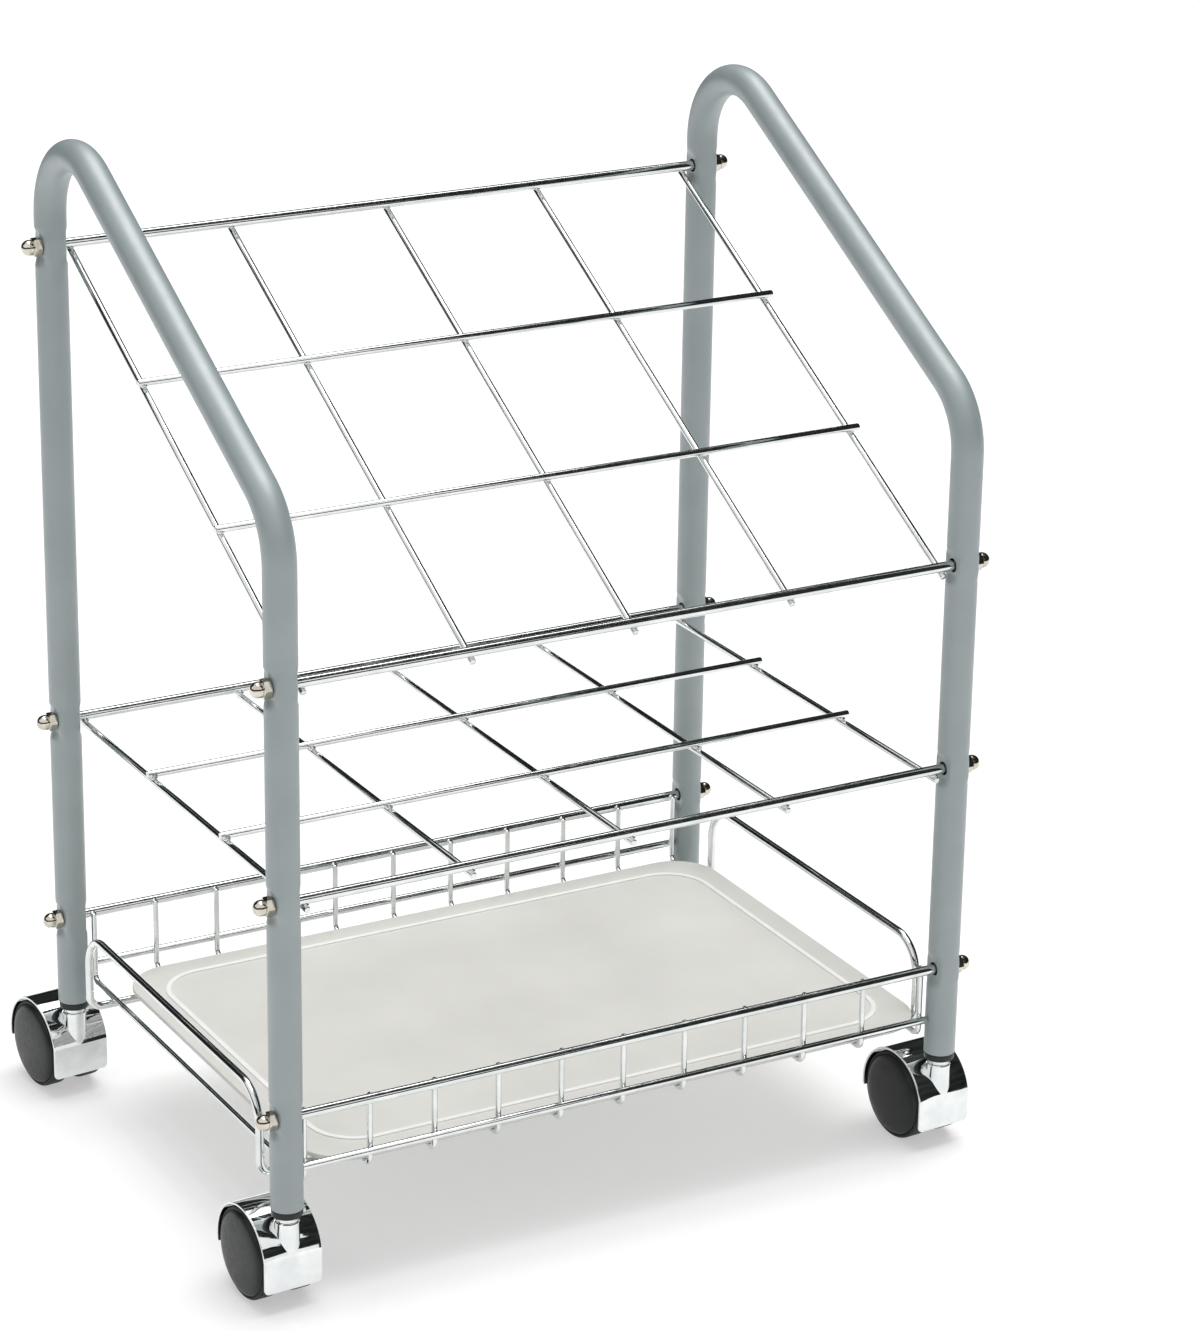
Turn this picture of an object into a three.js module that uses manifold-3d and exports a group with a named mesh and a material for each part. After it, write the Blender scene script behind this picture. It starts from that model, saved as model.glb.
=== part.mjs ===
import * as THREE from "three";
import { mergeVertices } from "three/addons/utils/BufferGeometryUtils.js";
import Module from "manifold-3d";

// Mobile file cart for rolled drawings: two bent tube side frames, two wire grids,
// a wire basket with a plastic tray, and four hooded twin-wheel casters.
// Millimetres, Z up, the low side of the cart faces -Y.

// Side frames
const LEG_SPAN_X = 438.15;
const LEG_SPAN_Y = 308.4;
const FRAME_H = 554;
const TUBE_D = 19.05;
const TUBE_WALL = 1.2;
const BEND_R = 45;
const SLOPE_DEG = 28.6;

// Levels of the bolted rods above the leg ends; the upper grid hangs a fixed drop below the slanted tube
const RAIL_UP = 55.5;
const MIDDLE_UP = 186.2;
const GRID_DROP = 93.2;

// Rods and wires
const ROD_D = 6;
const THREAD_D = 5;
const WIRE_D = 4.5;
const CROSS_D = 4;
const U_WIRE_D = 3.5;
const HOOP_D = 5;

// Grids: four columns and three rows of cells
const CROSS_COUNT = 5;
const ROW_COUNT = 3;
const END_WIRE_GAP = 1.55;
const CROSS_OVERHANG = 5;
const WIRE_OVERHANG = 4.5;

// Basket
const U_COUNT = 11;
const U_END_GAP = 1.8;
const U_BEND_R = 5;
const U_TIP = 0.8;
const LOWER_DROP = 33.4;
const FLOOR_DROP = 44.1;
const LOWER_END_GAP = 0.5;
const WELD_BITE = 0.3;
const HOOP_OUT = 1.9;
const HOOP_Y = 123;
const HOOP_RISE = 2.1;
const HOOP_TOP_R = 22;
const HOOP_BOTTOM_R = 8;

// Tray, lying against the right and front of the basket
const TRAY_T = 3;
const TRAY_CORNER_R = 30;
const TRAY_RIGHT_GAP = 1;
const TRAY_LEFT_INSET = 10.5;
const TRAY_FRONT_GAP = 2.4;
const TRAY_REAR_GAP = 7.4;
const BEAD_INSET = 15.5;
const BEAD_W = 2.6;
const BEAD_H = 0.8;

// Cap nuts, each sunk into a seat pressed in the tube wall
const SEAT_DEPTH = 3;
const SEAT_CLEAR = 0.6;
const NUT_ACROSS = 10;
const NUT_HEX_T = 5;
const NUT_LENGTH = 11.5;
const NUT_DOME_D = 9.4;
const NUT_BORE_DEPTH = 8;

// Casters
const WHEEL_D = 55;
const WHEEL_W = 13.2;
const WHEEL_DOME = 2;
const WHEEL_BORE_DEPTH = 12;
const AXLE_D = 6;
const TRAIL = 22;
const HOOD_W = 36.7;
const HOOD_WALL = 1.5;
const HOOD_GAP = 1.2;
const HOOD_TAIL_DEG = -10;
const APRON_Z = 14;
const CREASE_RISE = 6.8;
const WEB_W = 11;
const HUB_DROP = 7;
const BOSS_D = 14.5;
const NECK_D = 8;
const NECK_DEPTH = 11;
const NECK_H = 7.9;
const RING_D = 14;
const RING_T = 2.8;
const STEM_D = 11;
const STEM_LENGTH = 38;
const COLLAR_D = 18.4;
const COLLAR_T = 4.2;
const SOCKET_LENGTH = 42;
const CASTER_YAW_DEG = { front_left: 2.7, front_right: 3.3, rear_left: 5.4, rear_right: 0 };

// Clearance between neighbouring solids, and of turning pieces
const GAP = 0.3;
const RUN_GAP = 0.3;

const slope = THREE.MathUtils.degToRad(SLOPE_DEG);
const legX = LEG_SPAN_X / 2;
const legY = LEG_SPAN_Y / 2;
const tubeR = TUBE_D / 2;
const innerFaceX = legX - tubeR;
const legBottomZ = WHEEL_D + NECK_H;
const topTurn = Math.PI / 2 + slope;
const railZ = legBottomZ + RAIL_UP;
const middleZ = legBottomZ + MIDDLE_UP;
const rearCornerZ = legBottomZ + FRAME_H - tubeR + BEND_R * (Math.tan(topTurn / 2) - 1);
const frontCornerZ = rearCornerZ - LEG_SPAN_Y * Math.tan(slope);
const upperFrontZ = frontCornerZ - GRID_DROP;
const upperRearZ = upperFrontZ + LEG_SPAN_Y * Math.tan(slope);
const hoodInnerR = WHEEL_D / 2 + HOOD_GAP;
const hoodOuterR = hoodInnerR + HOOD_WALL;
const tailTurn = THREE.MathUtils.degToRad(Math.max(HOOD_TAIL_DEG, 0));
const originBack = (TRAIL + hoodOuterR * Math.cos(tailTurn) - tubeR) / 2;

const wasm = await Module();
wasm.setup();

const cart = new THREE.Group();
cart.position.y = -originBack;
const root = new THREE.Group();
root.add(cart);

const finishes = {
  tube: new THREE.MeshStandardMaterial({ color: 0x8f9b9d, roughness: 0.5 }),
  chrome: new THREE.MeshStandardMaterial({ color: 0xd8dadb, metalness: 1, roughness: 0.15 }),
  nickel: new THREE.MeshStandardMaterial({ color: 0xcfc7b4, metalness: 1, roughness: 0.2 }),
  tray: new THREE.MeshStandardMaterial({ color: 0xdad9d4, roughness: 0.35 }),
  dark: new THREE.MeshStandardMaterial({ color: 0x2d3031, roughness: 0.45 }),
};

// One named piece of the cart
function piece(name, geometry, finish, parent = cart) {
  const mesh = new THREE.Mesh(geometry, finishes[finish]);
  mesh.name = name;
  parent.add(mesh);
}

// A closed three.js geometry as a solid that can be joined and cut
function solid(geometry) {
  const bare = geometry.clone();
  bare.deleteAttribute("normal");
  bare.deleteAttribute("uv");
  const merged = mergeVertices(bare, 1e-4);
  return new wasm.Manifold(
    new wasm.Mesh({
      numProp: 3,
      vertProperties: new Float32Array(merged.attributes.position.array),
      triVerts: new Uint32Array(merged.index.array),
    }),
  );
}

function geometryOf(made) {
  const mesh = made.getMesh();
  const geometry = new THREE.BufferGeometry();
  geometry.setAttribute("position", new THREE.BufferAttribute(mesh.vertProperties, 3));
  geometry.setIndex(new THREE.BufferAttribute(mesh.triVerts, 1));
  return geometry;
}

// A path of straight lines with rounded corners, swept one section per knot
class BentPath extends THREE.Curve {
  constructor(corners, radii, stepDeg) {
    super();
    this.knots = [corners[0].clone()];
    this.tangents = [corners[1].clone().sub(corners[0]).normalize()];
    for (let i = 1; i < corners.length - 1; i++) {
      this.addBend(corners[i], corners[i + 1], radii[i - 1], stepDeg);
    }
    this.knots.push(corners[corners.length - 1].clone());
    this.tangents.push(this.tangents[this.tangents.length - 1].clone());
  }

  addBend(corner, next, radius, stepDeg) {
    const before = this.tangents[this.tangents.length - 1].clone();
    const after = next.clone().sub(corner).normalize();
    const turn = before.angleTo(after);
    const axis = before.clone().cross(after).normalize();
    const start = corner.clone().addScaledVector(before, -radius * Math.tan(turn / 2));
    const inward = axis.clone().cross(before);
    const centre = start.clone().addScaledVector(inward, radius);
    const steps = Math.ceil(THREE.MathUtils.radToDeg(turn) / stepDeg);
    for (let k = 0; k <= steps; k++) {
      const angle = (turn * k) / steps;
      const arm = start.clone().sub(centre).applyAxisAngle(axis, angle);
      this.knots.push(centre.clone().add(arm));
      this.tangents.push(before.clone().applyAxisAngle(axis, angle));
    }
  }

  getSpacedPoints() {
    return this.knots;
  }

  getTangentAt(u) {
    return this.tangents[Math.round(u * (this.knots.length - 1))].clone();
  }
}

function polygon(radius, sides) {
  const points = [];
  for (let i = 0; i < sides; i++) {
    const angle = (2 * Math.PI * i) / sides;
    points.push(new THREE.Vector2(radius * Math.cos(angle), radius * Math.sin(angle)));
  }
  return points;
}

function sweep(path, radius, sides, holeRadius = 0) {
  const shape = new THREE.Shape(polygon(radius, sides));
  if (holeRadius > 0) {
    shape.holes.push(new THREE.Path(polygon(holeRadius, sides).reverse()));
  }
  return new THREE.ExtrudeGeometry(shape, {
    steps: path.knots.length - 1,
    extrudePath: path,
    bevelEnabled: false,
  });
}

function barX(diameter, length, sides) {
  return new THREE.CylinderGeometry(diameter / 2, diameter / 2, length, sides).rotateZ(-Math.PI / 2);
}

// A turned piece: profile of [radius, height] pairs from the top down, spun about Z
function turned(profile, sides) {
  const points = profile.map(([radius, height]) => new THREE.Vector2(radius, height));
  return new THREE.LatheGeometry(points, sides).rotateX(Math.PI / 2);
}

// A side view drawn in Y and Z, given its width along X
function sidePlate(points, width) {
  const shape = new THREE.Shape(points.map(([y, z]) => new THREE.Vector2(y, z)));
  const geometry = new THREE.ExtrudeGeometry(shape, { depth: width, bevelEnabled: false });
  geometry.translate(0, 0, -width / 2);
  const along = new THREE.Matrix4().makeBasis(
    new THREE.Vector3(0, 1, 0),
    new THREE.Vector3(0, 0, 1),
    new THREE.Vector3(1, 0, 0),
  );
  return geometry.applyMatrix4(along);
}

function arc(centreY, centreZ, radius, fromDeg, toDeg, steps) {
  const points = [];
  for (let i = 0; i <= steps; i++) {
    const angle = THREE.MathUtils.degToRad(fromDeg + ((toDeg - fromDeg) * i) / steps);
    points.push([centreY + radius * Math.cos(angle), centreZ + radius * Math.sin(angle)]);
  }
  return points;
}

function evenly(halfSpan, count) {
  return Array.from({ length: count }, (_, i) => -halfSpan + (2 * halfSpan * i) / (count - 1));
}

// Side frames: one hollow tube each, up the rear leg, over, down the slant and down the front leg
const boltLevels = [
  { level: "basket", frontZ: railZ, rearZ: railZ },
  { level: "middle", frontZ: middleZ, rearZ: middleZ },
  { level: "upper", frontZ: upperFrontZ, rearZ: upperRearZ },
];
const framePath = new BentPath(
  [
    new THREE.Vector3(0, legY, legBottomZ),
    new THREE.Vector3(0, legY, rearCornerZ),
    new THREE.Vector3(0, -legY, frontCornerZ),
    new THREE.Vector3(0, -legY, legBottomZ),
  ],
  [BEND_R, BEND_R],
  15,
);
const tube = solid(sweep(framePath, tubeR, 16, tubeR - TUBE_WALL));
const nutSideR = NUT_ACROSS / 2 / Math.cos(Math.PI / 6);
const seatD = 2 * (nutSideR + SEAT_CLEAR);
const seatX = tubeR - SEAT_DEPTH;
const cupReach = SEAT_DEPTH + TUBE_WALL;
const seatCup = solid(barX(seatD + 2 * TUBE_WALL, cupReach, 16).translate(tubeR - cupReach / 2, 0, 0))
  .intersect(solid(new THREE.CylinderGeometry(tubeR, tubeR, 2 * TUBE_D, 16).rotateX(Math.PI / 2)));
const seatHollow = barX(seatD, TUBE_D, 16).translate(seatX + TUBE_D / 2, 0, 0);
const drill = barX(THREAD_D + 2 * GAP, 2 * TUBE_D, 8);

// Every rod passes through a drilled hole, and its nut lies in a seat on the outer side
function sideFrame(side) {
  const turn = side > 0 ? 0 : Math.PI;
  const cup = geometryOf(seatCup).rotateZ(turn);
  const hollow = seatHollow.clone().rotateZ(turn);
  let frame = tube;
  for (const { frontZ, rearZ } of boltLevels) {
    for (const [y, z] of [[-legY, frontZ], [legY, rearZ]]) {
      frame = frame
        .add(solid(cup.clone().translate(0, y, z)))
        .subtract(solid(hollow.clone().translate(0, y, z)))
        .subtract(solid(drill.clone().translate(0, y, z)));
    }
  }
  return geometryOf(frame).translate(side * legX, 0, 0);
}

piece("side_frame_left", sideFrame(-1), "tube");
piece("side_frame_right", sideFrame(1), "tube");

// Bolted rods: the thick middle seats against both legs, the thin threaded ends pass through
const rodHalf = innerFaceX - GAP;
const nutX = legX + seatX + GAP;
const threadHalf = nutX + NUT_BORE_DEPTH - GAP;
const rod = turned(
  [
    [0, -threadHalf],
    [THREAD_D / 2, -threadHalf],
    [THREAD_D / 2, -rodHalf],
    [ROD_D / 2, -rodHalf],
    [ROD_D / 2, rodHalf],
    [THREAD_D / 2, rodHalf],
    [THREAD_D / 2, threadHalf],
    [0, threadHalf],
  ],
  8,
).rotateY(Math.PI / 2);

// Grids: two rods, two wires between them, and cross wires lying under all four
const crossX = innerFaceX - END_WIRE_GAP - CROSS_D / 2;
const crossLocal = -(ROD_D / 2 + GAP + CROSS_D / 2);
const wireLocal = crossLocal + CROSS_D / 2 + GAP + WIRE_D / 2;
const rowY = LEG_SPAN_Y / ROW_COUNT / 2;

function grid(name, tilt, frontZ) {
  const halfRun = legY / Math.cos(tilt);
  const plane = new THREE.Matrix4().makeRotationX(tilt);
  plane.setPosition(0, 0, frontZ + legY * Math.tan(tilt));
  const put = (label, geometry, along, lift) =>
    piece(`${name}_${label}`, geometry.clone().translate(0, along, lift).applyMatrix4(plane), "chrome");
  put("rod_front", rod, -halfRun, 0);
  put("rod_rear", rod, halfRun, 0);
  const wire = barX(WIRE_D, 2 * (crossX + WIRE_OVERHANG), 8);
  put("wire_front", wire, -rowY / Math.cos(tilt), wireLocal);
  put("wire_rear", wire, rowY / Math.cos(tilt), wireLocal);
  const cross = new THREE.CylinderGeometry(CROSS_D / 2, CROSS_D / 2, 2 * (halfRun + CROSS_OVERHANG), 8);
  evenly(crossX, CROSS_COUNT).forEach((x, i) => {
    put(`cross_${i + 1}`, cross.clone().translate(x, 0, 0), 0, crossLocal);
  });
}

grid("upper", slope, upperFrontZ);
grid("middle", 0, middleZ);

// Basket: bolted rails, lower wires and U wires welded into one piece
const uY = legY - ROD_D / 2 - U_WIRE_D / 2 + WELD_BITE;
const uX = innerFaceX - U_END_GAP - U_WIRE_D / 2;
const lowerY = uY + U_WIRE_D / 2 + WIRE_D / 2 - WELD_BITE;
const floorZ = railZ - FLOOR_DROP;
const uTopZ = railZ + ROD_D / 2 + U_TIP;
const uPath = new BentPath(
  [
    new THREE.Vector3(0, -uY, uTopZ),
    new THREE.Vector3(0, -uY, floorZ),
    new THREE.Vector3(0, uY, floorZ),
    new THREE.Vector3(0, uY, uTopZ),
  ],
  [U_BEND_R, U_BEND_R],
  30,
);
const uWire = sweep(uPath, U_WIRE_D / 2, 6);
const lowerWire = barX(WIRE_D, 2 * (innerFaceX - LOWER_END_GAP), 8);
let basket = solid(rod.clone().translate(0, -legY, railZ));
const welded = [
  rod.clone().translate(0, legY, railZ),
  lowerWire.clone().translate(0, -lowerY, railZ - LOWER_DROP),
  lowerWire.clone().translate(0, lowerY, railZ - LOWER_DROP),
  ...evenly(uX, U_COUNT).map((x) => uWire.clone().translate(x, 0, 0)),
];
for (const part of welded) {
  basket = basket.add(solid(part));
}
piece("basket", geometryOf(basket), "chrome");

// Basket hoop: one wire that stands up as a guard at each side and crosses under the U wires
const hoopX = legX + HOOP_OUT;
const hoopTopZ = railZ + HOOP_RISE;
const hoopRunZ = floorZ - U_WIRE_D / 2 - GAP - HOOP_D / 2;

function hoopHalf(side) {
  const path = new BentPath(
    [
      new THREE.Vector3(-side * WELD_BITE, -HOOP_Y, hoopRunZ),
      new THREE.Vector3(side * hoopX, -HOOP_Y, hoopRunZ),
      new THREE.Vector3(side * hoopX, -HOOP_Y, hoopTopZ),
      new THREE.Vector3(side * hoopX, HOOP_Y, hoopTopZ),
      new THREE.Vector3(side * hoopX, HOOP_Y, hoopRunZ),
      new THREE.Vector3(-side * WELD_BITE, HOOP_Y, hoopRunZ),
    ],
    [HOOP_BOTTOM_R, HOOP_TOP_R, HOOP_TOP_R, HOOP_BOTTOM_R],
    30,
  );
  return solid(sweep(path, HOOP_D / 2, 8));
}

piece("basket_hoop", geometryOf(hoopHalf(-1).add(hoopHalf(1))), "chrome");

// Tray: a flat plate with round corners and a raised bead line inside its edge
const trayLeft = -(uX - TRAY_LEFT_INSET);
const trayRight = hoopX - HOOP_D / 2 - TRAY_RIGHT_GAP;
const trayFront = -(uY - U_WIRE_D / 2 - TRAY_FRONT_GAP);
const trayRear = uY - U_WIRE_D / 2 - TRAY_REAR_GAP;
const trayZ = floorZ + U_WIRE_D / 2 + GAP;

function roundedOutline(inset, cornerR) {
  const left = trayLeft + inset + cornerR;
  const right = trayRight - inset - cornerR;
  const front = trayFront + inset + cornerR;
  const rear = trayRear - inset - cornerR;
  const corners = [
    ...arc(right, rear, cornerR, 0, 90, 6),
    ...arc(left, rear, cornerR, 90, 180, 6),
    ...arc(left, front, cornerR, 180, 270, 6),
    ...arc(right, front, cornerR, 270, 360, 6),
  ];
  return corners.map(([x, y]) => new THREE.Vector2(x, y));
}

const plate = new THREE.ExtrudeGeometry(new THREE.Shape(roundedOutline(0, TRAY_CORNER_R)), {
  depth: TRAY_T,
  bevelEnabled: false,
});
const beadShape = new THREE.Shape(roundedOutline(BEAD_INSET, TRAY_CORNER_R));
beadShape.holes.push(new THREE.Path(roundedOutline(BEAD_INSET + BEAD_W, TRAY_CORNER_R - BEAD_W).reverse()));
const bead = new THREE.ExtrudeGeometry(beadShape, { depth: TRAY_T / 2 + BEAD_H, bevelEnabled: false });
const tray = solid(plate).add(solid(bead.translate(0, 0, TRAY_T / 2)));
piece("tray", geometryOf(tray).translate(0, 0, trayZ), "tray");

// Cap nuts: a hexagon with a domed closed end, on every threaded rod end
const hexagon = new THREE.CylinderGeometry(nutSideR, nutSideR, NUT_HEX_T, 6).rotateX(Math.PI / 2);
const domeR = NUT_DOME_D / 2;
const domeBaseZ = NUT_LENGTH - domeR;
const dome = turned(
  [
    [0, NUT_HEX_T / 2],
    [domeR, NUT_HEX_T / 2],
    ...arc(0, domeBaseZ, domeR, 0, 60, 2),
    [0, NUT_LENGTH],
  ],
  10,
);
const nutBore = new THREE.CylinderGeometry(THREAD_D / 2 + GAP, THREAD_D / 2 + GAP, 2 * NUT_BORE_DEPTH, 8);
const nut = geometryOf(
  solid(hexagon.translate(0, 0, NUT_HEX_T / 2)).add(solid(dome)).subtract(solid(nutBore.rotateX(Math.PI / 2))),
);
for (const { level, frontZ, rearZ } of boltLevels) {
  const left = nut.clone().rotateY(-Math.PI / 2);
  const right = nut.clone().rotateY(Math.PI / 2);
  piece(`nut_left_${level}_front`, left.clone().translate(-nutX, -legY, frontZ), "nickel");
  piece(`nut_left_${level}_rear`, left.clone().translate(-nutX, legY, rearZ), "nickel");
  piece(`nut_right_${level}_front`, right.clone().translate(nutX, -legY, frontZ), "nickel");
  piece(`nut_right_${level}_rear`, right.clone().translate(nutX, legY, rearZ), "nickel");
}

// Caster socket: a plastic sleeve inside the leg with a collar under the tube end
const collarTopZ = legBottomZ - GAP;
const collarZ = collarTopZ - COLLAR_T;
const sleeveR = tubeR - TUBE_WALL - GAP;
const socketBoreR = STEM_D / 2 + RUN_GAP;
const socket = turned(
  [
    [socketBoreR, collarZ],
    [COLLAR_D / 2, collarZ],
    [COLLAR_D / 2, collarTopZ],
    [sleeveR, collarTopZ],
    [sleeveR, collarTopZ + SOCKET_LENGTH],
    [socketBoreR, collarTopZ + SOCKET_LENGTH],
    [socketBoreR, collarZ],
  ],
  16,
);

// Caster stem: a neck in the hood, a ring, and a pin that turns in the socket
const ringTopZ = collarZ - RUN_GAP;
const ringZ = ringTopZ - RING_T;
const bossTopZ = ringZ - GAP;
const neckZ = bossTopZ - NECK_DEPTH;
const stem = turned(
  [
    [0, neckZ + GAP],
    [NECK_D / 2, neckZ + GAP],
    [NECK_D / 2, ringZ],
    [RING_D / 2, ringZ],
    [RING_D / 2, ringTopZ],
    [STEM_D / 2, ringTopZ],
    [STEM_D / 2, ringTopZ + STEM_LENGTH],
    [0, ringTopZ + STEM_LENGTH],
  ],
  16,
);

// Caster hood: half a drum over both wheels, a flat apron in front, a web between the wheels
// for the axle, and an upright boss for the stem
const axleZ = WHEEL_D / 2;
const apronY = TRAIL - Math.sqrt(hoodOuterR ** 2 - CREASE_RISE ** 2);
const outerCreaseDeg = THREE.MathUtils.radToDeg(Math.acos((apronY - TRAIL) / hoodOuterR));
const innerCreaseDeg = THREE.MathUtils.radToDeg(Math.acos((apronY + HOOD_WALL - TRAIL) / hoodInnerR));
const shell = sidePlate(
  [
    [apronY, APRON_Z],
    ...arc(TRAIL, axleZ, hoodOuterR, outerCreaseDeg, HOOD_TAIL_DEG, 14),
    ...arc(TRAIL, axleZ, hoodInnerR, HOOD_TAIL_DEG, innerCreaseDeg, 14),
    [apronY + HOOD_WALL, APRON_Z],
  ],
  HOOD_W,
);
const webR = hoodInnerR + HOOD_WALL / 2;
const web = sidePlate(
  [
    ...arc(TRAIL, axleZ, webR, innerCreaseDeg, HOOD_TAIL_DEG, 14),
    [TRAIL + HUB_DROP, axleZ - HUB_DROP],
    [TRAIL - HUB_DROP, axleZ - HUB_DROP],
  ],
  WEB_W,
);
const bossRootZ = axleZ;
const boss = new THREE.CylinderGeometry(BOSS_D / 2, BOSS_D / 2, bossTopZ - bossRootZ, 16).rotateX(Math.PI / 2);
const wheelSpace = barX(2 * hoodInnerR, 2 * HOOD_W, 28).translate(0, TRAIL, axleZ);
const neckHole = new THREE.CylinderGeometry(NECK_D / 2 + GAP, NECK_D / 2 + GAP, 2 * NECK_DEPTH, 16);
const axleHole = barX(AXLE_D + 2 * GAP, 2 * WEB_W, 12).translate(0, TRAIL, axleZ);
const hood = geometryOf(
  solid(boss.translate(0, 0, (bossTopZ + bossRootZ) / 2))
    .subtract(solid(wheelSpace))
    .add(solid(shell))
    .add(solid(web))
    .subtract(solid(neckHole.rotateX(Math.PI / 2).translate(0, 0, bossTopZ)))
    .subtract(solid(axleHole)),
);

// Caster wheels: solid discs with a domed outer face, turning on the ends of the axle
const wheelInnerX = WEB_W / 2 + RUN_GAP;
const wheelOuterX = wheelInnerX + WHEEL_W;
const wheelBoreX = wheelInnerX + WHEEL_BORE_DEPTH;
const wheelBoreR = AXLE_D / 2 + RUN_GAP;
const wheelR = WHEEL_D / 2;
const wheel = turned(
  [
    [0, wheelBoreX],
    [wheelBoreR, wheelBoreX],
    [wheelBoreR, wheelInnerX],
    [wheelR - 2, wheelInnerX],
    [wheelR, wheelInnerX + 2],
    [wheelR, wheelOuterX - 3],
    [wheelR - 1.5, wheelOuterX - 0.5],
    [wheelR - 6, wheelOuterX + WHEEL_DOME / 2],
    [0, wheelOuterX + WHEEL_DOME],
  ],
  32,
).rotateY(Math.PI / 2);
const axle = barX(AXLE_D, 2 * (wheelBoreX - GAP), 12);

for (const [place, yawDeg] of Object.entries(CASTER_YAW_DEG)) {
  const caster = new THREE.Group();
  const x = place.endsWith("left") ? -legX : legX;
  const y = place.startsWith("front") ? -legY : legY;
  caster.position.set(x, y, 0);
  caster.rotation.z = THREE.MathUtils.degToRad(yawDeg);
  cart.add(caster);
  const name = `caster_${place}`;
  piece(`${name}_stem`, stem, "chrome", caster);
  piece(`${name}_hood`, hood, "chrome", caster);
  piece(`${name}_axle`, axle.clone().translate(0, TRAIL, axleZ), "chrome", caster);
  piece(`${name}_wheel_left`, wheel.clone().rotateZ(Math.PI).translate(0, TRAIL, axleZ), "dark", caster);
  piece(`${name}_wheel_right`, wheel.clone().translate(0, TRAIL, axleZ), "dark", caster);
  piece(`${name}_socket`, socket.clone().translate(x, y, 0), "dark");
}

export default root;
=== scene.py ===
# %% [markdown]
# # A rolling cart for rolled drawings
# Two bent tube frames carry two wire grids and a wire basket with a plastic tray, and the
# whole thing rolls on four twin-wheel casters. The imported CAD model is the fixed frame: it
# gives every place and size. Blender adds the smooth forms and the finishes, piece by piece.

import math

import bpy
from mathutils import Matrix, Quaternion, Vector


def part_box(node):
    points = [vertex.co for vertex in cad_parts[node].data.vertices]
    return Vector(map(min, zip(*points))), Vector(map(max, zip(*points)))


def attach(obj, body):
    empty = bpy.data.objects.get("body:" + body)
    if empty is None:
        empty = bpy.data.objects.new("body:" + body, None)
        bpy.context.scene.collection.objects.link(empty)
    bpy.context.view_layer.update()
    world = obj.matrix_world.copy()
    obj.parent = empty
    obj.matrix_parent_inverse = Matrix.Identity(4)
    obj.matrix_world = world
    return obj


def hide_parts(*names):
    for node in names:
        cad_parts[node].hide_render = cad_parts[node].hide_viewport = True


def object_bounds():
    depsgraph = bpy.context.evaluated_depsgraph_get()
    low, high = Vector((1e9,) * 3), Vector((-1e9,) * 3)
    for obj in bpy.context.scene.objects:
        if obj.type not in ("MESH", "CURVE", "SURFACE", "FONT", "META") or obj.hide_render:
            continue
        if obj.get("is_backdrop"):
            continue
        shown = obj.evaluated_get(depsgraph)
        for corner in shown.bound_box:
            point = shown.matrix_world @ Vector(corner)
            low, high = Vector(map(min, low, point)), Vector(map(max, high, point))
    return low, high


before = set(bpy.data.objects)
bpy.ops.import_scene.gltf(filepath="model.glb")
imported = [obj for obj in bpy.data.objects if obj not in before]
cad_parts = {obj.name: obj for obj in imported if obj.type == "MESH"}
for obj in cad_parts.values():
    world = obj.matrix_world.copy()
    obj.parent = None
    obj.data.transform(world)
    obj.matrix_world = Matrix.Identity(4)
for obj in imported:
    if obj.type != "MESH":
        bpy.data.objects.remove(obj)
cad_low, cad_high = (Vector(corner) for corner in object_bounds())
MM = 0.001
print("CAD box in mm:", [round(side / MM, 1) for side in cad_high - cad_low])

# %% [markdown]
# ## Camera
# The picture was taken from the front left and above, from about 2.7 metres. The place
# and lens come from fitting the bolt points and caster corners of the cart to their pixels,
# so one camera with no shift gives the same perspective.

# %% Camera
camera_data = bpy.data.cameras.new("camera")
camera_data.sensor_width = 36
camera_data.lens = 117.55
camera = bpy.data.objects.new("camera", camera_data)
bpy.context.collection.objects.link(camera)
turn, drop, roll = (math.radians(angle) for angle in (29.48, 20.824, 0.941))
level_look = Vector((math.sin(turn), math.cos(turn), 0))
look = level_look * math.cos(drop) - Vector((0, 0, math.sin(drop)))
camera.location = Vector((-1140.98, -2154.07, 1219.15)) * MM
camera.rotation_mode = "QUATERNION"
camera.rotation_quaternion = look.to_track_quat("-Z", "Y") @ Quaternion((0, 0, 1), roll)
bpy.context.scene.camera = camera
bpy.context.scene.view_settings.view_transform = "Standard"
print("camera stands", round(camera.location.length, 2), "m from the cart")

# %% [markdown]
# ## Finishes
# Every finish is one Principled shader with three small additions: a noise that shifts the
# colour, a noise that shifts the gloss, and a fine bump for the skin. They read Object
# coordinates, and since every piece sits at the origin, one metre in the pattern is one
# metre on the cart. Plain numbers go straight onto the shader's own sockets.

# %% Finish helpers
def linear(*values):
    """Turn an sRGB colour of 0 to 255 into the linear colour that a socket takes."""
    parts = [value / 255 for value in values]
    return [p / 12.92 if p <= 0.04045 else ((p + 0.055) / 1.055) ** 2.4 for p in parts] + [1]


def new_finish(name, metallic=0.0, specular=0.5):
    finish = bpy.data.materials.new(name)
    finish.use_nodes = True
    shader = finish.node_tree.nodes["Principled BSDF"]
    shader.inputs["Metallic"].default_value = metallic
    shader.inputs["Specular IOR Level"].default_value = specular
    return finish, shader


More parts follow.
